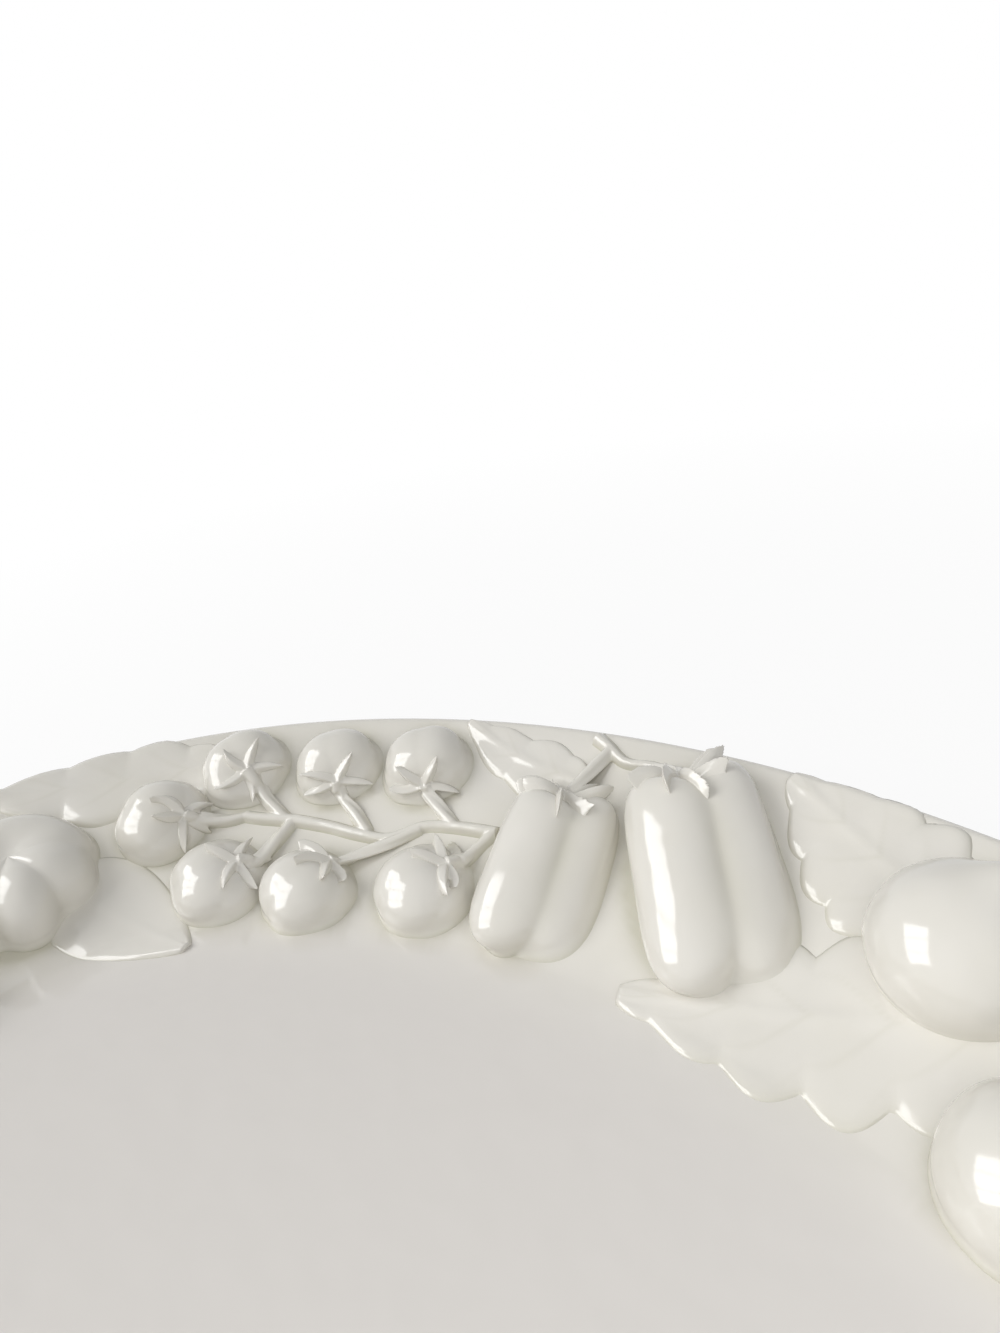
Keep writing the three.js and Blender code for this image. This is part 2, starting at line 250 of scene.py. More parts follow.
def write_piece(bm, node):
    bmesh.ops.remove_doubles(bm, verts=bm.verts, dist=TINY)
    bmesh.ops.recalc_face_normals(bm, faces=bm.faces)
    mesh = bpy.data.meshes.new(node + "_glazed")
    bm.to_mesh(mesh)
    mesh.shade_smooth()
    mesh.materials.append(glaze)
    piece = bpy.data.objects.new(node + "_glazed", mesh)
    bpy.context.collection.objects.link(piece)
    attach(piece, "root")
    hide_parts(node)


def write_sprig(bm, name):
    write_piece(bm, "back_" + name)
    bmesh.ops.rotate(bm, verts=bm.verts, cent=(0, 0, 0), matrix=HALF_TURN)
    write_piece(bm, "front_" + name)
    print(name, "faces:", len(bm.faces))
    bm.free()


print("the garland's halves are", round(HALF_TURN.to_euler().z, 4), "radians apart")

# %% [markdown]
# ## Where the sprigs sit
# Station is the angle round the oval in degrees, across the distance from the well's edge outwards as a
# share of the rim's width, and radius is in millimetres. Heading is where a fruit's axis leans, from the
# right hand of someone looking outwards. Lean tips the axis over, deep is the fruit's length along it in
# radii, relief flattens the fruit, and lift raises its middle off the rim, in radii. Furrow is the turn at
# which one furrow runs, deepest the turn at which furrows are deepest where they are not all alike, and
# nod is how far the stem is off the axis, towards the top. Angles are in degrees. Block is 2 for a ball and
# more for a box. Lobes, groove, dimple, neck and taper are the number of lobes, the depth of the furrows
# between them, a hollow or a point at the stem, and more or less girth towards it, in radii.

# %% Sprig places
PLAIN = dict(lobes=0, groove=0, furrow=180, deepest=None, taper=0, dimple=0, nod=0, neck=0)
TOMATO = dict(
    PLAIN, lobes=5, groove=0.05, block=2.2, taper=0.03, dimple=0.16,
    deep=0.86, lean=52, relief=0.72, lift=0.08,
)
PEPPER = dict(
    PLAIN, lobes=3, groove=0.3, furrow=200, block=4.2, dimple=0.2,
    nod=24, lean=80, relief=0.74, lift=0.12,
)
SQUASH = dict(
    PLAIN, lobes=7, groove=0.2, furrow=189, deepest=215, block=2.2, dimple=0.3,
    deep=0.84, lean=12, relief=0.74, lift=0.12,
)
ONION = dict(PLAIN, block=2, neck=0.2, deep=0.94, lean=50, relief=0.82, lift=0.12)
FRUITS = {
    "tomato_1": dict(TOMATO, station=148.2, across=0.542, radius=15.2, heading=-20),
    "tomato_2": dict(TOMATO, station=138.4, across=0.744, radius=14.6, heading=-56, lean=36),
    "tomato_3": dict(TOMATO, station=128.3, across=0.72, radius=14.2, heading=-70, lean=57),
    "tomato_4": dict(TOMATO, station=119.1, across=0.728, radius=14.4, heading=-72, lean=64),
    "tomato_5": dict(TOMATO, station=142.1, across=0.197, radius=14.9, heading=20, lean=46),
    "tomato_6": dict(TOMATO, station=130.4, across=0.13, radius=14.9, heading=50, lean=58),
    "tomato_7": dict(TOMATO, station=116.5, across=0.178, radius=15, heading=45),
    "pepper_1": dict(
        PEPPER, station=104.9, across=0.365, radius=18, deep=1.46, heading=92, furrow=216, taper=-0.05,
    ),
    "pepper_2": dict(
        PEPPER, station=91.8, across=0.499, radius=20.4, deep=1.62, heading=124, furrow=209, nod=22,
    ),
    "pepper_3": dict(PEPPER, station=202, across=0.467, radius=19.5, deep=1.5, heading=75),
    "squash_1": dict(SQUASH, station=166.6, across=0.445, radius=24.6, heading=60),
    "squash_2": dict(SQUASH, station=221.5, across=0.47, radius=24.6, heading=150),
    "onion_1": dict(ONION, station=73.9, across=0.61, radius=20.5, heading=70),
    "onion_2": dict(ONION, station=61.8, across=0.192, radius=18, heading=40),
    "onion_3": dict(ONION, station=185.5, across=0.206, radius=17.5, heading=150),
}


def setting(spec):
    """Takes a unit fruit to its place: sized, leant over, pressed flatter and set on the rim."""
    radius = spec["radius"] * MM
    return (
        rim_frame(spec["station"], spec["across"])
        @ Matrix.Translation((0, 0, spec["lift"] * radius))
        @ Matrix.Diagonal((1, 1, spec["relief"], 1))
        @ Matrix.Rotation(radians(spec["heading"]), 4, "Z")
        @ Matrix.Rotation(radians(spec["lean"]), 4, "Y")
        @ Matrix.Diagonal((radius, radius, radius * spec["deep"], 1))
    )


def axis_in_plan(place):
    """The way a set fruit's axis points, seen from above."""
    return (place.to_3x3() @ Vector((0, 0, 1))).to_2d().normalized()


print("fruits in each half:", len(FRUITS))

# %% [markdown]
# ## The platter body
# Well, rim, lip and foot are one turned profile: spin it round Z, then stretch each ring to the oval. A
# sweep along an oval would do as well, but a spin needs no curve object and keeps the rings in step with
# the rim's formula. The foot's standing face is left bare of glaze, as it has to be in the kiln. The rim is
# painted a little darker beside each fruit: thicker glaze in the joint, and painted shade at the fruit's
# foot.

# %% Platter profile
WELL_RINGS = 4
RIM_RINGS = 34
RIM_CROWDING = 1.2
UNDERSIDE_EVERY = 3
LIP_STEPS = 10


def platter_profile():
    points = [(0, FLOOR), (CORE * 0.5, FLOOR), (CORE, FLOOR)]
    points += [(CORE + (WELL - CORE) * i / WELL_RINGS, FLOOR) for i in range(1, WELL_RINGS)]
    rings = [WELL + (lip_start - WELL) * (i / RIM_RINGS) ** RIM_CROWDING for i in range(RIM_RINGS + 1)]
    points += [(r, rise(r)) for r in rings]
    pitch = slope(lip_start)
    middle = (lip_start + LIP * sin(pitch), rise(lip_start) - LIP * cos(pitch))
    for i in range(1, LIP_STEPS):
        angle = pitch + pi * (0.5 - i / LIP_STEPS)
        points.append((middle[0] + LIP * cos(angle), middle[1] + LIP * sin(angle)))
    under = reversed(rings[::UNDERSIDE_EVERY])
    points += [(r + WALL * sin(slope(r)), rise(r) - WALL * cos(slope(r))) for r in under]
    # The foot's corners are eased: hollow where it leaves the body, rounded where it stands.
    foot_out = WELL - FOOT_INSET
    foot_in = foot_out - FOOT_WIDTH
    ease = FOOT_HEIGHT / 4
    for side, turn in ((foot_out, 1), (foot_in, -1)):
        edge = [(side + turn * ease, FOOT_HEIGHT), (side + turn * ease / 4, FOOT_HEIGHT - ease * 0.7)]
        edge += [(side, ease), (side - turn * ease / 3, ease / 3), (side - turn * ease, 0)]
        points += edge if turn > 0 else edge[::-1]
    points += [(CORE * 0.5, FOOT_HEIGHT), (0, FOOT_HEIGHT)]
    return points


print("points in the profile:", len(platter_profile()))

# %% Platter body
TURN_STEPS = 360
THICK_GLAZE = 0.08
WORN_FADE = 0.03
EDGE_WEAR = 0.3
BARE_BELOW = FOOT_HEIGHT / 8
RIM_POOL_AND_SHADE = 0.4
RIM_POOL_AND_SHADE_REACH = 1.6 * MM
BASE_SHARE = 0.97


def find_fruit_bases():
    """For each fruit of both halves: middle, axis, half length and half width of its base."""
    bases = []
    for spec in FRUITS.values():
        place = setting(spec)
        stem = axis_in_plan(place)
        radius = spec["radius"] * MM
        half_long = radius * max(spec["deep"], 1) * BASE_SHARE
        for turned in (1, -1):
            bases.append((place.translation.to_2d() * turned, stem * turned, half_long, radius * BASE_SHARE))
    return bases


def pool_and_shade_beside_fruit(point, bases):
    """1 at the foot of a fruit, falling away over a few millimetres of rim."""
    nearest = WIDTH
    for where, along, half_long, half_wide in bases:
        away = Vector((point.x - where.x, point.y - where.y))
        lengthwise = away.dot(along)
        sideways = away.dot(Vector((-along.y, along.x)))
        share = hypot(lengthwise / half_long, sideways / half_wide)
        nearest = min(nearest, (share - 1) * half_wide)
    return exp(-max(nearest, 0.0) / RIM_POOL_AND_SHADE_REACH)


def make_platter_body():
    bm = start_piece()
    chain = [bm.verts.new((r, 0, z)) for r, z in platter_profile()]
    edges = [bm.edges.new(pair) for pair in zip(chain, chain[1:])]
    bmesh.ops.spin(
        bm, geom=chain + edges, cent=(0, 0, 0), axis=(0, 0, 1), angle=2 * pi, steps=TURN_STEPS, use_merge=True
    )
    bmesh.ops.remove_doubles(bm, verts=bm.verts, dist=TINY)
    pool_and_shade, worn, bare = (bm.verts.layers.float[name] for name in GLAZE_LAYERS)
    bases = find_fruit_bases()
    for vert in bm.verts:
        r = hypot(vert.co.x, vert.co.y)
        if r > TINY:
            vert.co.x *= reach(r) / r
        if vert.co.z < BARE_BELOW:
            vert[bare] = 1
        elif vert.co.z > FLOOR - TINY:
            vert[worn] = 1 - min(max((r - WELL) / WORN_FADE + (1 - EDGE_WEAR), 0), 1)
            # The rim is painted darker beside each fruit: thicker glaze, and painted shade at the fruit's
            # foot.
            vert[pool_and_shade] = RIM_POOL_AND_SHADE * pool_and_shade_beside_fruit(vert.co, bases) + THICK_GLAZE * (r > WELL)
    write_piece(bm, "platter_body")
    print("platter body faces:", len(bm.faces))
    bm.free()


make_platter_body()

# %% [markdown]
# ## The vegetables
# Each fruit is a ball pushed to its skin formula: lobes and a dimple on a tomato, three deep lobes on a
# blocky pepper, ribs on a squash, a small neck on an onion. They could be sculpted, but a formula keeps
# them alike and lets the stalks find the skin later. Near the rim the ball flares into a small hollow
# fillet, because slip and glaze fill the corner, and what would lie below is tucked just under the rim.

# %% The skin of a fruit
WOBBLE = 0.03
WOBBLE_SCALE = 1.4
FURROW_ROUNDING = 0.12
DIMPLE_WIDTH = 0.45
NECK_WIDTH = 0.3


def over_top(angle):
    """A way out from a unit fruit's middle, over its top: 0 at the axis, minus nod at the stem."""
    return Vector((sin(angle), 0, cos(angle)))


def in_furrow(spec, way):
    """Nearly 1 at the bottom of a furrow between two lobes, about 0 on the lobes' backs."""
    turn = atan2(way.y, way.x)
    across_lobes = sin(spec["lobes"] * (turn - radians(spec["furrow"])) / 2)
    depth = hypot(way.x, way.y) * (1 - hypot(across_lobes, FURROW_ROUNDING))
    if spec["deepest"] is not None:
        depth *= (0.5 + 0.5 * cos(turn - radians(spec["deepest"]))) ** 2
    return depth


def skin(spec, way):
    """Distance from a unit fruit's middle to its skin."""
    sine = hypot(way.x, way.y)
    boxy = (sine ** spec["block"] + abs(way.z) ** spec["block"]) ** (-1 / spec["block"])
    valley = spec["groove"] * in_furrow(spec, way)
    tilt = way.angle(over_top(-radians(spec["nod"])))
    dimple = spec["dimple"] * exp(-((tilt / DIMPLE_WIDTH) ** 2))
    neck = spec["neck"] * exp(-((tilt / NECK_WIDTH) ** 2))
    uneven = 1 + WOBBLE * noise.noise(way * WOBBLE_SCALE + Vector((0, 0, spec["station"])))
    return boxy * (1 - valley) * (1 - dimple + neck) * (1 + spec["taper"] * way.z) * uneven


print("a tomato's skin at its stem, in radii:", round(skin(FRUITS["tomato_1"], over_top(0)), 3))

# %% Fruits
BALL_SEGMENTS, BALL_RINGS = 112, 64
FILLET = 2.2 * MM
FLARE = 0.8
FLARE_FROM = 0.5
TUCK = 0.5 * MM
FOOT_ZONE = 1.5 * FILLET
FOOT_PASSES = 8
FOOT_SOFTENING = dict(factor=0.5, use_axis_x=True, use_axis_y=True, use_axis_z=True)
FURROW_POOL_AND_SHADE = 1.3
JOINT_POOL_AND_SHADE = 0.45
JOINT_POOL_AND_SHADE_REACH = 1.5 * MM


def seat_on_rim(bm, spec, place):
    """Flares a fruit's foot into the rim, tucks the rest under, and darkens the joint: thick glaze, painted
    shade.
    """
    pool_and_shade = bm.verts.layers.float["pool_and_shade"]
    axis = axis_in_plan(place)
    straight = max(0.0, spec["deep"] - 1) * spec["radius"] * MM
    foot = []
    for vert in bm.verts:
        away = (vert.co - place.translation).to_2d()
        along = max(-straight, min(straight, away.dot(axis)))
        outwards = away - axis * along
        height = height_over_rim(vert.co)
        if height < FILLET and outwards.length > FLARE_FROM * spec["radius"] * MM:
            above = max(height, 0) / FILLET
            flare = FLARE * FILLET * (1 - (1 - (1 - above) ** 2) ** 0.5)
            vert.co += (outwards.normalized() * flare).to_3d()
            height = height_over_rim(vert.co)
        if height < -TUCK:
            vert.co.z += -TUCK - height
        # The joint with the rim is painted darker: thick glaze and painted shade.
        vert[pool_and_shade] = max(vert[pool_and_shade], JOINT_POOL_AND_SHADE * exp(-max(height, 0) / JOINT_POOL_AND_SHADE_REACH))
        if abs(height) < FOOT_ZONE:
            foot.append(vert)
    for _ in range(FOOT_PASSES):
        bmesh.ops.smooth_vert(bm, verts=foot, **FOOT_SOFTENING)


def make_fruit(name, spec):
    bm = start_piece()
    bmesh.ops.create_uvsphere(bm, u_segments=BALL_SEGMENTS, v_segments=BALL_RINGS, radius=1)
    place = setting(spec)
    pool_and_shade = bm.verts.layers.float["pool_and_shade"]
    for vert in bm.verts:
        vert.co.normalize()
        # Furrows between lobes are painted darker: thick glaze and painted shade.
        vert[pool_and_shade] = THICK_GLAZE + FURROW_POOL_AND_SHADE * spec["groove"] * in_furrow(spec, vert.co) ** 3
        vert.co *= skin(spec, vert.co)
    bmesh.ops.transform(bm, matrix=place, verts=bm.verts)
    seat_on_rim(bm, spec, place)
    write_sprig(bm, name)


for name, spec in FRUITS.items():
    make_fruit(name, spec)

# %% [markdown]
# ## Stems and calyxes
# A truss is one pressing: the vine lies half sunk on the rim, and each stalk climbs from it to the star of
# sepals on its tomato. A curve with a bevel would give plain round stalks. Here a stem is a ring extruded
# along a smooth path, because the ring can be round on top and spread into a hollow foot, and a second
# path gives the way up, so the foot stays on the rim or the fruit. Noise makes it sway and swell a little,
# as a hand-tooled stalk does. A sepal is a small grid laid on the fruit's skin, with a ridge down its
# middle and a tip that curls up. At the end a voxel remesh and a little smoothing melt all of these into
# one skin, as slip and glaze do.

# %% Stem routes
# A route's points are station and across. A stalk has its fruit, its way down to the stem, and how far its
# sepals spread, as an angle on the fruit.
VINE = [(138.5, 0.509), (133.5, 0.47), (128.5, 0.432), (123, 0.394), (117.5, 0.461), (110.6, 0.466)]
VINE_STALKS = [
    ("tomato_1", [(138.3, 0.509)], 0.78),
    ("tomato_2", [(133.8, 0.475)], 0.8),
    ("tomato_3", [(124.2, 0.408)], 0.8),
    ("tomato_4", [(115, 0.466)], 0.8),
    ("tomato_5", [(133, 0.461)], 0.75),
    ("tomato_6", [(118.5, 0.442)], 0.78),
    ("tomato_7", [(112.1, 0.384), (111, 0.456)], 0.75),
]
FORK = [(104.3, 0.93), (101.5, 0.87), (98.6, 0.848)]
FORK_STALKS = [("pepper_1", [(102.8, 0.898)], 0.72), ("pepper_2", [(98.8, 0.85)], 0.64)]
SPUR = [(200, 0.92), (198.5, 0.85)]
SPUR_STALKS = [("pepper_3", [(198.8, 0.86)], 0.6)]
TOMATO_CALYX = dict(sepals=5, width=0.155, curl=1.8)
PEPPER_CALYX = dict(sepals=9, width=0.075, curl=1.6)
TRUSSES = {
    "tomato_vine": (VINE, VINE_STALKS, TOMATO_CALYX),
    "pepper_fork": (FORK, FORK_STALKS, PEPPER_CALYX),
    "pepper_spur": (SPUR, SPUR_STALKS, PEPPER_CALYX),
}
VINE_RADIUS = 1.9 * MM
VINE_TAPER = 0.85
SUNK = 0.35
STALK_RADIUS = 1.6 * MM
STALK_SWELL = 1.4
STALK_LIFT = 0.5
STALK_SHARES = (0, 0.35, 0.7)


def along_rim(route):
    """The points of a route, sunk into the rim, and the way up at each."""
    ups = [rim_frame(*point).to_3x3() @ Vector((0, 0, 1)) for point in route]
    return [on_rim(*point, VINE_RADIUS * SUNK) for point in route], ups


def over_shoulder(spec, place, share):
    """A stalk's point between the calyx, share 0, and the fruit's foot, share 1, and the way up there."""
    way = over_top(radians(share * (90 - spec["lean"]) + (share - 1) * spec["nod"]))
    point = place @ (way * (skin(spec, way) + STALK_LIFT * STALK_RADIUS / MM / spec["radius"]))
    return point, (point - place.translation).normalized()


print("stalks on the vine:", len(VINE_STALKS))

# %% A stem along a path
STEM_STEPS = 8
STEM_SIDES = 24
STEM_FOOT = 1.1
FOOT_TOP, FOOT_BOTTOM = 0.3, -0.6
SWAY = 2.6 * MM
SWELL = 0.25
SWAY_SCALE = 70


def smooth_path(points):
    """A smooth curve through the points, each stretch a cubic that heads the way its neighbours lie."""
    padded = [2 * points[0] - points[1], *points, 2 * points[-1] - points[-2]]
    path = []
    for before, first, second, after in zip(padded, padded[1:], padded[2:], padded[3:]):
        for i in range(STEM_STEPS):
            t = i / STEM_STEPS
            path.append(0.5 * (
                2 * first + (second - before) * t
                + (2 * before - 5 * first + 4 * second - after) * t ** 2
                + (3 * first - before - 3 * second + after) * t ** 3
            ))
    return path + [points[-1]]


def stem_ring(bm):
    """A unit ring in XY, round on top and spread into a hollow foot below."""
    ring = bmesh.ops.create_circle(bm, cap_ends=True, segments=STEM_SIDES, radius=1)["verts"]
    for vert in ring:
        spread = STEM_FOOT * max(FOOT_TOP - max(vert.co.y, FOOT_BOTTOM), 0) ** 2
        vert.co.x += spread if vert.co.x > 0 else -spread
    return ring


def stem_frames(points, ups, start_radius, end_radius):
    """Where the ring stands at each step: square to the path, its top towards the way up."""
    path = smooth_path(points)
    frames = []
    for i, (point, up) in enumerate(zip(path, smooth_path(ups))):
        ahead = (path[min(i + 1, len(path) - 1)] - path[max(i - 1, 0)]).normalized()
        sideways = up.cross(ahead).normalized()
        turn = Matrix((sideways, ahead.cross(sideways), ahead)).transposed().to_4x4()
        share = i / (len(path) - 1)
        uneven = noise.noise(point * SWAY_SCALE)
        radius = (end_radius + (start_radius - end_radius) * (1 - share) ** 3) * (1 + SWELL * uneven)
        point = point + sideways * (SWAY * uneven * sin(pi * share))
        frames.append(Matrix.Translation(point) @ turn @ Matrix.Diagonal((radius, radius, radius, 1)))
    return frames


def add_stem(bm, frames):
    ring = stem_ring(bm)
    edges = list({edge for vert in ring for edge in vert.link_edges})
    bmesh.ops.transform(bm, matrix=frames[0], verts=ring)
    for before, after in zip(frames, frames[1:]):
        grown = bmesh.ops.extrude_edge_only(bm, edges=edges)["geom"]
        ring = {part for part in grown if isinstance(part, bmesh.types.BMVert)}
        edges = [part for part in grown if isinstance(part, bmesh.types.BMEdge)]
        edges = [edge for edge in edges if ring.issuperset(edge.verts)]
        bmesh.ops.transform(bm, matrix=after @ before.inverted(), verts=list(ring))
    bmesh.ops.contextual_create(bm, geom=edges)


vine_path = smooth_path(along_rim(VINE)[0])
vine_length = sum((second - first).length for first, second in zip(vine_path, vine_path[1:]))
print("length of the vine in mm:", round(vine_length / MM))

# %% A sepal on its fruit
SEPAL_GRID = (14, 6)
SEPAL_START = 0.04
SEPAL_FROM, SEPAL_SPAN = 0.2, 0.79
SEPAL_FULLNESS = 0.7
SEPAL_NARROWING = 0.3
SEPAL_CLAY = 0.6
SEPAL_RIDGE = 2.0


def add_slab(bm, long, wide):
    """A unit grid and a copy of it joined to it at the edges. Gives the upper and the lower points."""
    upper = bmesh.ops.create_grid(bm, x_segments=long, y_segments=wide, size=0.5)["verts"]
    corners = set(upper)
    faces = [face for face in bm.faces if corners.issuperset(face.verts)]
    made = bmesh.ops.extrude_face_region(bm, geom=faces, use_keep_orig=True)["geom"]
    return upper, {part for part in made if isinstance(part, bmesh.types.BMVert)}


def add_sepal(bm, spec, place, turn, spread, width, curl, twist):
    """Lays one sepal on a fruit. Spread and width are angles on the skin, curl is in millimetres."""
    upper, lower = add_slab(bm, *SEPAL_GRID)
    nod = Matrix.Rotation(-radians(spec["nod"]), 3, "Y")
    for vert in [*upper, *lower]:
        u, v = vert.co.x + 0.5, 2 * vert.co.y
        wave = sin(pi * (SEPAL_FROM + SEPAL_SPAN * u))
        half = width * wave ** SEPAL_FULLNESS * (1 - SEPAL_NARROWING * u)
        out, side = SEPAL_START + (spread - SEPAL_START) * u, v * half
        bent = turn + twist * u * u
        x, y = out * cos(bent) - side * sin(bent), out * sin(bent) + side * cos(bent)
        tilt, around = hypot(x, y), atan2(y, x)
        ridge = SEPAL_CLAY + SEPAL_RIDGE * (1 - abs(v)) + curl * u ** 3
        layer = (-SEPAL_CLAY if vert in lower else ridge) / spec["radius"]
        way = nod @ Vector((sin(tilt) * cos(around), sin(tilt) * sin(around), cos(tilt)))
        vert.co = place @ (way * (skin(spec, way) + layer))


sepal_count = sum(len(stalks) * calyx["sepals"] for _, stalks, calyx in TRUSSES.values())
print("sepals in each half:", sepal_count)

# %% A calyx of uneven sepals
LUCK_STEPS = (1.7, 0.37, 0.5)
TURN_LUCK = 0.4
SPREAD_MEAN, SPREAD_LUCK = 0.96, 0.3
TWIST_LUCK = 0.9


def luck_of(spec, i):
    """A number for one sepal, the same on every run. At whole numbers this noise would always be 0."""
    return noise.noise(Vector((LUCK_STEPS[0] * i, LUCK_STEPS[1] * spec["station"], LUCK_STEPS[2])))


def add_calyx(bm, spec, place, spread, sepals, width, curl):
    for i in range(sepals):
        luck = luck_of(spec, i)
        turn = 2 * pi * (i + TURN_LUCK * luck) / sepals
        longer = spread * (SPREAD_MEAN + SPREAD_LUCK * luck)
        add_sepal(bm, spec, place, turn, longer, width, curl, TWIST_LUCK * luck)


print("luck of one calyx:", [round(luck_of(FRUITS["tomato_1"], i), 2) for i in range(TOMATO_CALYX["sepals"])])

# %% Trusses, melted into one skin
GRAIN = 0.3 * MM
SOFTENING = 2
STEM_POOL_AND_SHADE = 0.6
STEM_POOL_AND_SHADE_REACH = 1.2 * MM


def melt(bm):
    """Replaces overlapping shapes by one closed skin round them all."""
    mesh = bpy.data.meshes.new("raw_truss")
    bm.to_mesh(mesh)
    bm.free()
    raw = bpy.data.objects.new("raw_truss", mesh)
    bpy.context.collection.objects.link(raw)
    joined = raw.modifiers.new("joined", "REMESH")
    joined.mode = "VOXEL"
    joined.voxel_size = GRAIN
    raw.modifiers.new("softened", "SMOOTH").iterations = SOFTENING
    melted = start_piece()
    melted.from_mesh(raw.evaluated_get(bpy.context.evaluated_depsgraph_get()).to_mesh())
    bpy.data.objects.remove(raw)
    bpy.data.meshes.remove(mesh)
    return melted


def make_truss(name, route, stalks, calyx):
    bm = start_piece()
    add_stem(bm, stem_frames(*along_rim(route), VINE_RADIUS, VINE_RADIUS * VINE_TAPER))
    for fruit_name, along, spread in stalks:
        spec = FRUITS[fruit_name]
        place = setting(spec)
        over, over_ups = zip(*(over_shoulder(spec, place, share) for share in STALK_SHARES))
        down, down_ups = along_rim(along)
        points, ups = [*over, *down], [*over_ups, *down_ups]
        add_stem(bm, stem_frames(points, ups, STALK_RADIUS * STALK_SWELL, STALK_RADIUS))
        add_calyx(bm, spec, place, spread, **calyx)
    bmesh.ops.recalc_face_normals(bm, faces=bm.faces)
    bm = melt(bm)
    pool_and_shade = bm.verts.layers.float["pool_and_shade"]
    for vert in bm.verts:
        height = height_over_rim(vert.co)
        vert.co.z += max(-TUCK - height, 0)
        # Near the rim the stems are painted darker: thick glaze and painted shade.
        vert[pool_and_shade] = max(THICK_GLAZE, STEM_POOL_AND_SHADE * exp(-max(height, 0) / STEM_POOL_AND_SHADE_REACH))
    write_sprig(bm, name)


for name, (route, stalks, calyx) in TRUSSES.items():
    make_truss(name, route, stalks, calyx)

# %% [markdown]
# ## Leaves
# A leaf is a thin slab of clay, pressed over the rim before the fruits were set on it. A grid is shaped to
# a pointed outline with rounded teeth, laid on the rim's formula and closed underneath. An image of an
# outline could cut it from a plane, but a grid that follows the leaf has its veins along its own lines.
# The midrib stands up, and fine side veins run from it towards the edge. Each leaf has its own number and
# depth of teeth, and tooth is a share of the breadth. Base and tip are places on the rim. Breadth, bow, the
# bend of the midrib, and ruffle, the lift of the teeth at the edge, are in millimetres. The lower soft is,
# the wider the edge is rounded off.

# %% Leaf places
LEAF = dict(bow=0, teeth=5, tooth=0.07, ruffle=0.35, soft=9)
LEAVES = {
    "leaf_1": dict(LEAF, base=(104.5, 0.73), tip=(115.8, 0.94), breadth=19, bow=2, teeth=3, soft=12),
    "leaf_2": dict(LEAF, base=(76, 0.672), tip=(89, 0.94), breadth=35, teeth=4, tooth=0.09, soft=12),
    "leaf_3": dict(LEAF, base=(67.5, 0.507), tip=(93.4, 0.019), breadth=41, tooth=0.14, soft=7),
    "leaf_4": dict(LEAF, base=(161.4, 0.39), tip=(146.6, -0.115), breadth=33, teeth=0, soft=6),
    "leaf_5": dict(
        LEAF, base=(141.5, 0.79), tip=(167.5, 0.98), breadth=30, teeth=4, tooth=0.09, ruffle=0.9, soft=14,
    ),
    "leaf_6": dict(LEAF, base=(178, 0.693), tip=(194, 0.91), breadth=30, bow=3),
    "leaf_7": dict(LEAF, base=(212, 0.32), tip=(190, 0), breadth=34, bow=-3, soft=7),
    "leaf_8": dict(LEAF, base=(209, 0.79), tip=(231, 0.885), breadth=24, bow=-3),
}
print("leaves in each half:", len(LEAVES))

# %% The form of a leaf
LEAF_FROM, LEAF_SPAN = 0.04, 0.93
LEAF_SHOULDER = 0.65
LEAF_FULLNESS = 0.75
RAGGED = 0.16
RAGGED_SCALE = 4
RAGGED_SIDE = 2
LEAF_CLAY = 1.4 * MM
LEAF_THINNING = 0.3
MIDRIB = 0.3 * MM
MIDRIB_WIDTH = 1.6 * MM
FAINT_RIB = 0.4
VEIN_HEIGHT = 0.07 * MM
VEIN_SLANT = 0.3
VEIN_ONSET = 5


def leaf_lobe(shape, u):
    """1 on a tooth, -1 in the notch beside it, 0 on a leaf without teeth."""
    return 2 * abs(cos(pi * shape["teeth"] * u)) - 1 if shape["teeth"] else 0


def leaf_vein(shape, u, v):
    """0 on a side vein, -0.5 or 0.5 half way to the next."""
    return shape["teeth"] * (u - VEIN_SLANT * abs(v)) % 1 - 0.5


def leaf_half(shape, u, v):
    """Half the breadth at a share u of the length, on the side of v."""
    outline = sin(pi * (LEAF_FROM + LEAF_SPAN * u) ** LEAF_SHOULDER) ** LEAF_FULLNESS
    ragged = 0
    if shape["teeth"]:
        side = RAGGED_SIDE if v > 0 else -RAGGED_SIDE
        ragged = RAGGED * noise.noise(Vector((RAGGED_SCALE * u, side, shape["base"][0])))
    return shape["breadth"] / 2 * MM * outline * (1 + shape["tooth"] * leaf_lobe(shape, u) + ragged)


def leaf_relief(shape, u, v, half):
    """Height of the blade over the rim, a share v of the half breadth off its middle."""
    blade = LEAF_CLAY * (1 - LEAF_THINNING * v * v) + shape["ruffle"] * MM * leaf_lobe(shape, u) * v * v
    blade += VEIN_HEIGHT * cos(2 * pi * leaf_vein(shape, u, v)) * (1 - v * v) * min(1, VEIN_ONSET * abs(v))
    rib = MIDRIB if shape["teeth"] else FAINT_RIB * MIDRIB
    return blade * (1 - abs(v) ** shape["soft"]) + rib * exp(-((v * half / MIDRIB_WIDTH) ** 2))


print("half breadth of leaf_2 at its middle in mm:", round(leaf_half(LEAVES["leaf_2"], 0.5, 1) / MM, 1))

# %% Leaves
LEAF_GRID = (72, 36)
EDGE_POOL_AND_SHADE, EDGE_POOL_AND_SHADE_POWER = 0.25, 12
VEIN_POOL, VEIN_POOL_WIDTH = 0.1, 0.004
LIP_SHARE = 0.6
lip_reach = lip_start + LIP_SHARE * LIP


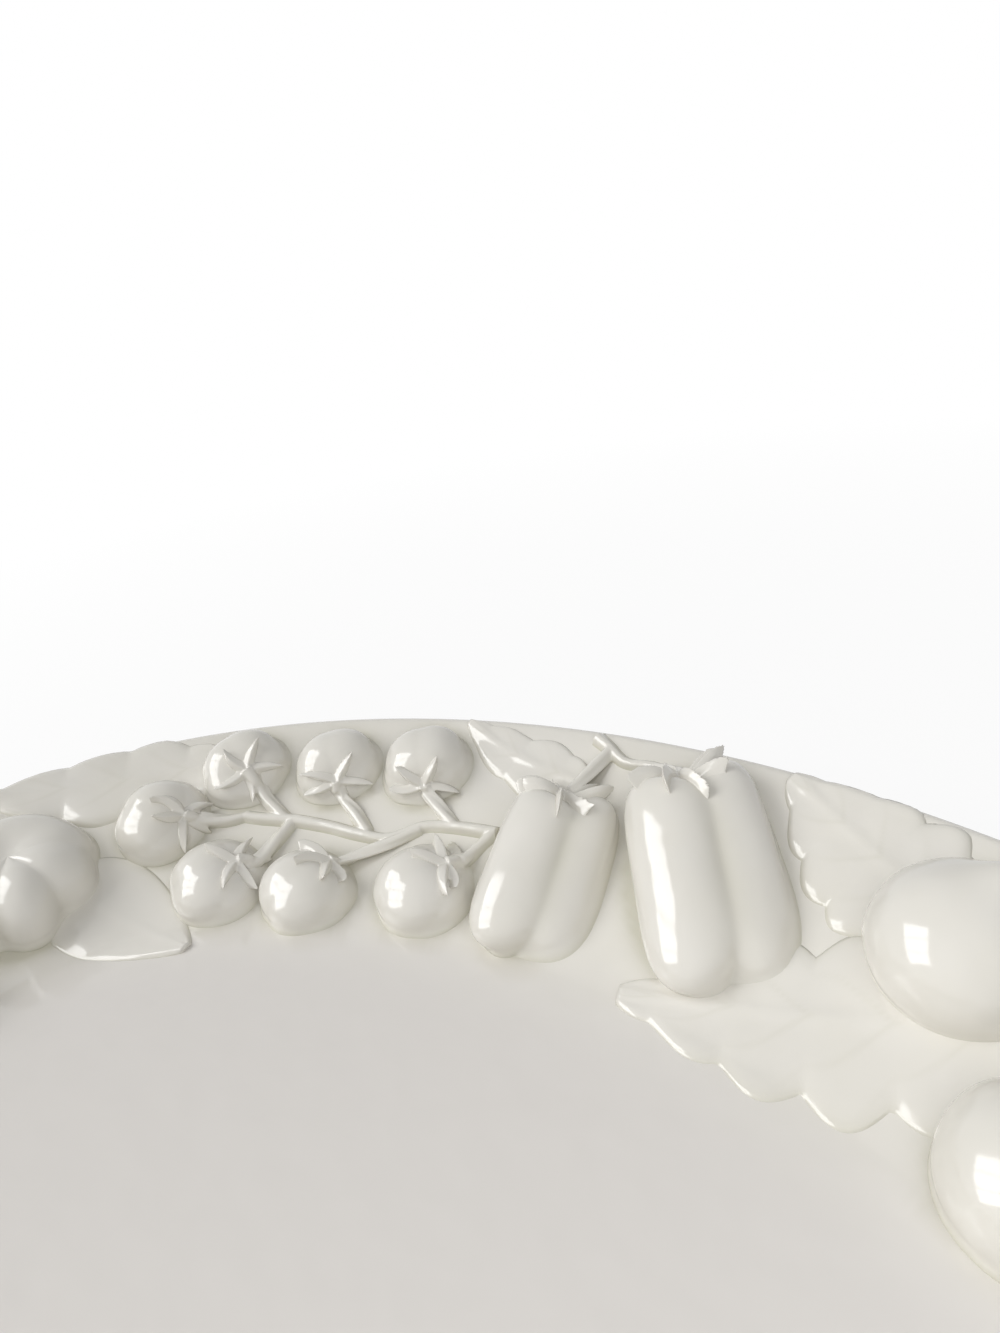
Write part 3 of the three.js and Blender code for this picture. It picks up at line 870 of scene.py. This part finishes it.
def make_leaf(name, shape):
    bm = start_piece()
    upper, lower = add_slab(bm, *LEAF_GRID)
    start = on_rim(*shape["base"])
    way = (on_rim(*shape["tip"]) - start).to_2d()
    side = Vector((-way.y, way.x)).normalized()
    pool_and_shade = bm.verts.layers.float["pool_and_shade"]
    for vert in [*upper, *lower]:
        u, v = vert.co.x + 0.5, 2 * vert.co.y
        half = leaf_half(shape, u, v)
        place = start.to_2d() + way * u + side * (v * half + shape["bow"] * MM * sin(pi * u))
        ring = ring_through(*place)
        if ring > lip_reach:
            place = Vector((place.x * reach(lip_reach) / reach(ring), place.y * lip_reach / ring))
        relief = -TUCK if vert in lower else leaf_relief(shape, u, v, half)
        vert.co = Vector((place.x, place.y, rise(min(ring, lip_start)) + relief))
        on_vein = exp(-leaf_vein(shape, u, v) ** 2 / VEIN_POOL_WIDTH) * (1 - abs(v))
        # The leaf's edge, where it meets the rim, is painted darker: thick glaze and painted shade. Veins are
        # faint darker lines.
        vert[pool_and_shade] = THICK_GLAZE + EDGE_POOL_AND_SHADE * abs(v) ** EDGE_POOL_AND_SHADE_POWER + VEIN_POOL * on_vein
    write_sprig(bm, name)


for name, shape in LEAVES.items():
    make_leaf(name, shape)

# %% [markdown]
# ## Floor and room
# The photograph shows a white table in a bright room. The table and the world are white where the camera
# or a reflection sees them, but the light they give is weak, because most of it comes from the window. A
# plain white world would wash out the relief. Round the platter the table is a little less white, so a
# soft shadow stays.

# %% Floor
FLOOR_SIZE = 30
TABLE_COLOUR = (0.95, 0.95, 0.95, 1)
TABLE_ROUGHNESS = 0.9
TABLE_FADE = {"From Min": 0.25, "From Max": 0.7, "To Min": 0.87, "To Max": 1}


def seen_directly(tree):
    """1 for what the camera sees itself, mirrored or through something, 0 for light on its way."""
    rays = add_node(tree, "ShaderNodeLightPath")
    total = rays.outputs["Is Camera Ray"]
    for ray in ("Is Glossy Ray", "Is Transmission Ray"):
        larger = add_node(tree, "ShaderNodeMath", operation="MAXIMUM")
        tree.links.new(total, larger.inputs[0])
        tree.links.new(rays.outputs[ray], larger.inputs[1])
        total = larger.outputs[0]
    return total


def blend_shaders(tree, factor, first, second, output):
    """Shows the first shader where the factor is 0 and the second where it is 1."""
    blend = add_node(tree, "ShaderNodeMixShader")
    tree.links.new(factor, blend.inputs[0])
    tree.links.new(first.outputs[0], blend.inputs[1])
    tree.links.new(second.outputs[0], blend.inputs[2])
    tree.links.new(blend.outputs[0], tree.nodes[output].inputs["Surface"])


def make_table_white():
    white = bpy.data.materials.new("white_table")
    white.use_nodes = True
    tree = white.node_tree
    shader = tree.nodes["Principled BSDF"]
    shader.inputs["Base Color"].default_value = TABLE_COLOUR
    shader.inputs["Roughness"].default_value = TABLE_ROUGHNESS
    away = add_node(tree, "ShaderNodeVectorMath", operation="LENGTH")
    tree.links.new(add_node(tree, "ShaderNodeTexCoord").outputs["Object"], away.inputs[0])
    share = add_node(tree, "ShaderNodeMath", operation="MULTIPLY")
    tree.links.new(seen_directly(tree), share.inputs[0])
    tree.links.new(remap(tree, away.outputs["Value"], TABLE_FADE), share.inputs[1])
    glow = add_node(tree, "ShaderNodeEmission")
    blend_shaders(tree, share.outputs[0], shader, glow, "Material Output")
    return white


def make_floor():
    bm = bmesh.new()
    bmesh.ops.create_grid(bm, x_segments=1, y_segments=1, size=FLOOR_SIZE)
    mesh = bpy.data.meshes.new("table_top")
    bm.to_mesh(mesh)
    bm.free()
    mesh.materials.append(make_table_white())
    table = bpy.data.objects.new("table_top", mesh)
    bpy.context.collection.objects.link(table)


make_floor()
print("table top reaches", FLOOR_SIZE, "m each way")

# %% World
AMBIENT = 0.17
SKY_WAY = Vector((0, 0.1, 1)).normalized()
SKY_GAIN = 0.8
WHITE = (1, 1, 1, 1)


def make_world():
    """Light from all round, more of it from above, and white wherever it is seen."""
    world = bpy.data.worlds.new("soft_room")
    world.use_nodes = True
    tree = world.node_tree
    room = tree.nodes["Background"]
    room.inputs["Color"].default_value = WHITE
    towards = add_node(tree, "ShaderNodeVectorMath", operation="DOT_PRODUCT")
    towards.inputs[1].default_value = SKY_WAY
    tree.links.new(add_node(tree, "ShaderNodeTexCoord").outputs["Generated"], towards.inputs[0])
    strength = add_node(tree, "ShaderNodeMath", operation="MULTIPLY_ADD")
    strength.inputs[1].default_value = AMBIENT * SKY_GAIN
    strength.inputs[2].default_value = AMBIENT
    tree.links.new(towards.outputs["Value"], strength.inputs[0])
    tree.links.new(strength.outputs[0], room.inputs["Strength"])
    seen = add_node(tree, "ShaderNodeBackground")
    seen.inputs["Color"].default_value = WHITE
    blend_shaders(tree, seen_directly(tree), room, seen, "World Output")
    bpy.context.scene.world = world


make_world()
bpy.context.scene.view_settings.view_transform = "Standard"
print("strength of the room's light:", AMBIENT)

# %% [markdown]
# ## Window and fill light
# Every round form in the photograph mirrors a window with panes, on the left and a little towards the
# camera. One large lamp would give the same light, but three lamps side by side also give that reflection.
# A dim lamp from the right lifts the shadows, and it is kept out of reflections, because the photograph
# shows no second window.

# %% Lamps
LIT = Vector((-0.03, 0.12, 0.03))
WINDOW_WAY = Vector((-0.60, -0.54, 0.59)).normalized()
WINDOW_AWAY = 2.4
WINDOW_ROLL = radians(52)
PANE = (1.5, 0.62)
PANE_GAP = 0.05
PANE_POWER = 13.6
FILL_WAY = Vector((0.62, -0.5, 0.6)).normalized()
FILL_AWAY = 0.42
FILL_SIZE = (0.4, 0.4)
FILL_POWER = 0.8


def add_lamp(name, way, away, size, power, roll=0.0, lift=0.0):
    """A soft rectangle of light that faces the garland, rolled and then moved up in its own plane."""
    light = bpy.data.lights.new(name, "AREA")
    light.shape = "RECTANGLE"
    light.size, light.size_y = size
    light.energy = power
    lamp = bpy.data.objects.new(name, light)
    turn = way.to_track_quat("Z", "Y") @ Quaternion((0, 0, 1), roll)
    lamp.rotation_euler = turn.to_euler()
    lamp.location = LIT + way * away + turn @ Vector((0, lift, 0))
    bpy.context.collection.objects.link(lamp)
    return lamp


for row in (-1, 0, 1):
    lift = row * (PANE[1] + PANE_GAP)
    add_lamp(f"window_pane_{row + 2}", WINDOW_WAY, WINDOW_AWAY, PANE, PANE_POWER, WINDOW_ROLL, lift)
add_lamp("fill", FILL_WAY, FILL_AWAY, FILL_SIZE, FILL_POWER).visible_glossy = False
print("lamps:", [light.name for light in bpy.data.lights])

# %% [markdown]
# ## Camera
# The camera stands where the photograph was taken: close over the rim, looking down a little, turned about
# half way round the oval and tilted slightly to one side, with a short lens that reaches past both ends.

# %% Camera
CAMERA_AIM = Vector((-0.1541, 0.2257, FLOOR))
CAMERA_AWAY = 0.3969
CAMERA_YAW = radians(44.48)
CAMERA_HEIGHT = radians(26.03)
CAMERA_ROLL = radians(-9.97)
CLIP_START = 0.01
SENSOR = 36
FOCAL_PIXELS = 923
PICTURE = (1000, 1333)


def make_camera():
    camera = bpy.data.objects.new("photo_camera", bpy.data.cameras.new("photo_camera"))
    level = cos(CAMERA_HEIGHT)
    back = Vector((sin(CAMERA_YAW) * level, -cos(CAMERA_YAW) * level, sin(CAMERA_HEIGHT)))
    right = Vector((cos(CAMERA_YAW), sin(CAMERA_YAW), 0))
    upright = Matrix((right, back.cross(right), back)).transposed()
    rolled = upright @ Matrix.Rotation(CAMERA_ROLL, 3, "Z")
    camera.matrix_world = Matrix.Translation(CAMERA_AIM + back * CAMERA_AWAY) @ rolled.to_4x4()
    camera.data.sensor_width = SENSOR
    camera.data.lens = FOCAL_PIXELS / max(PICTURE) * SENSOR
    camera.data.clip_start = CLIP_START
    bpy.context.collection.objects.link(camera)
    bpy.context.scene.camera = camera
    where = camera.matrix_world.translation
    print("camera at", [round(c, 3) for c in where], "lens", round(camera.data.lens, 2))


make_camera()
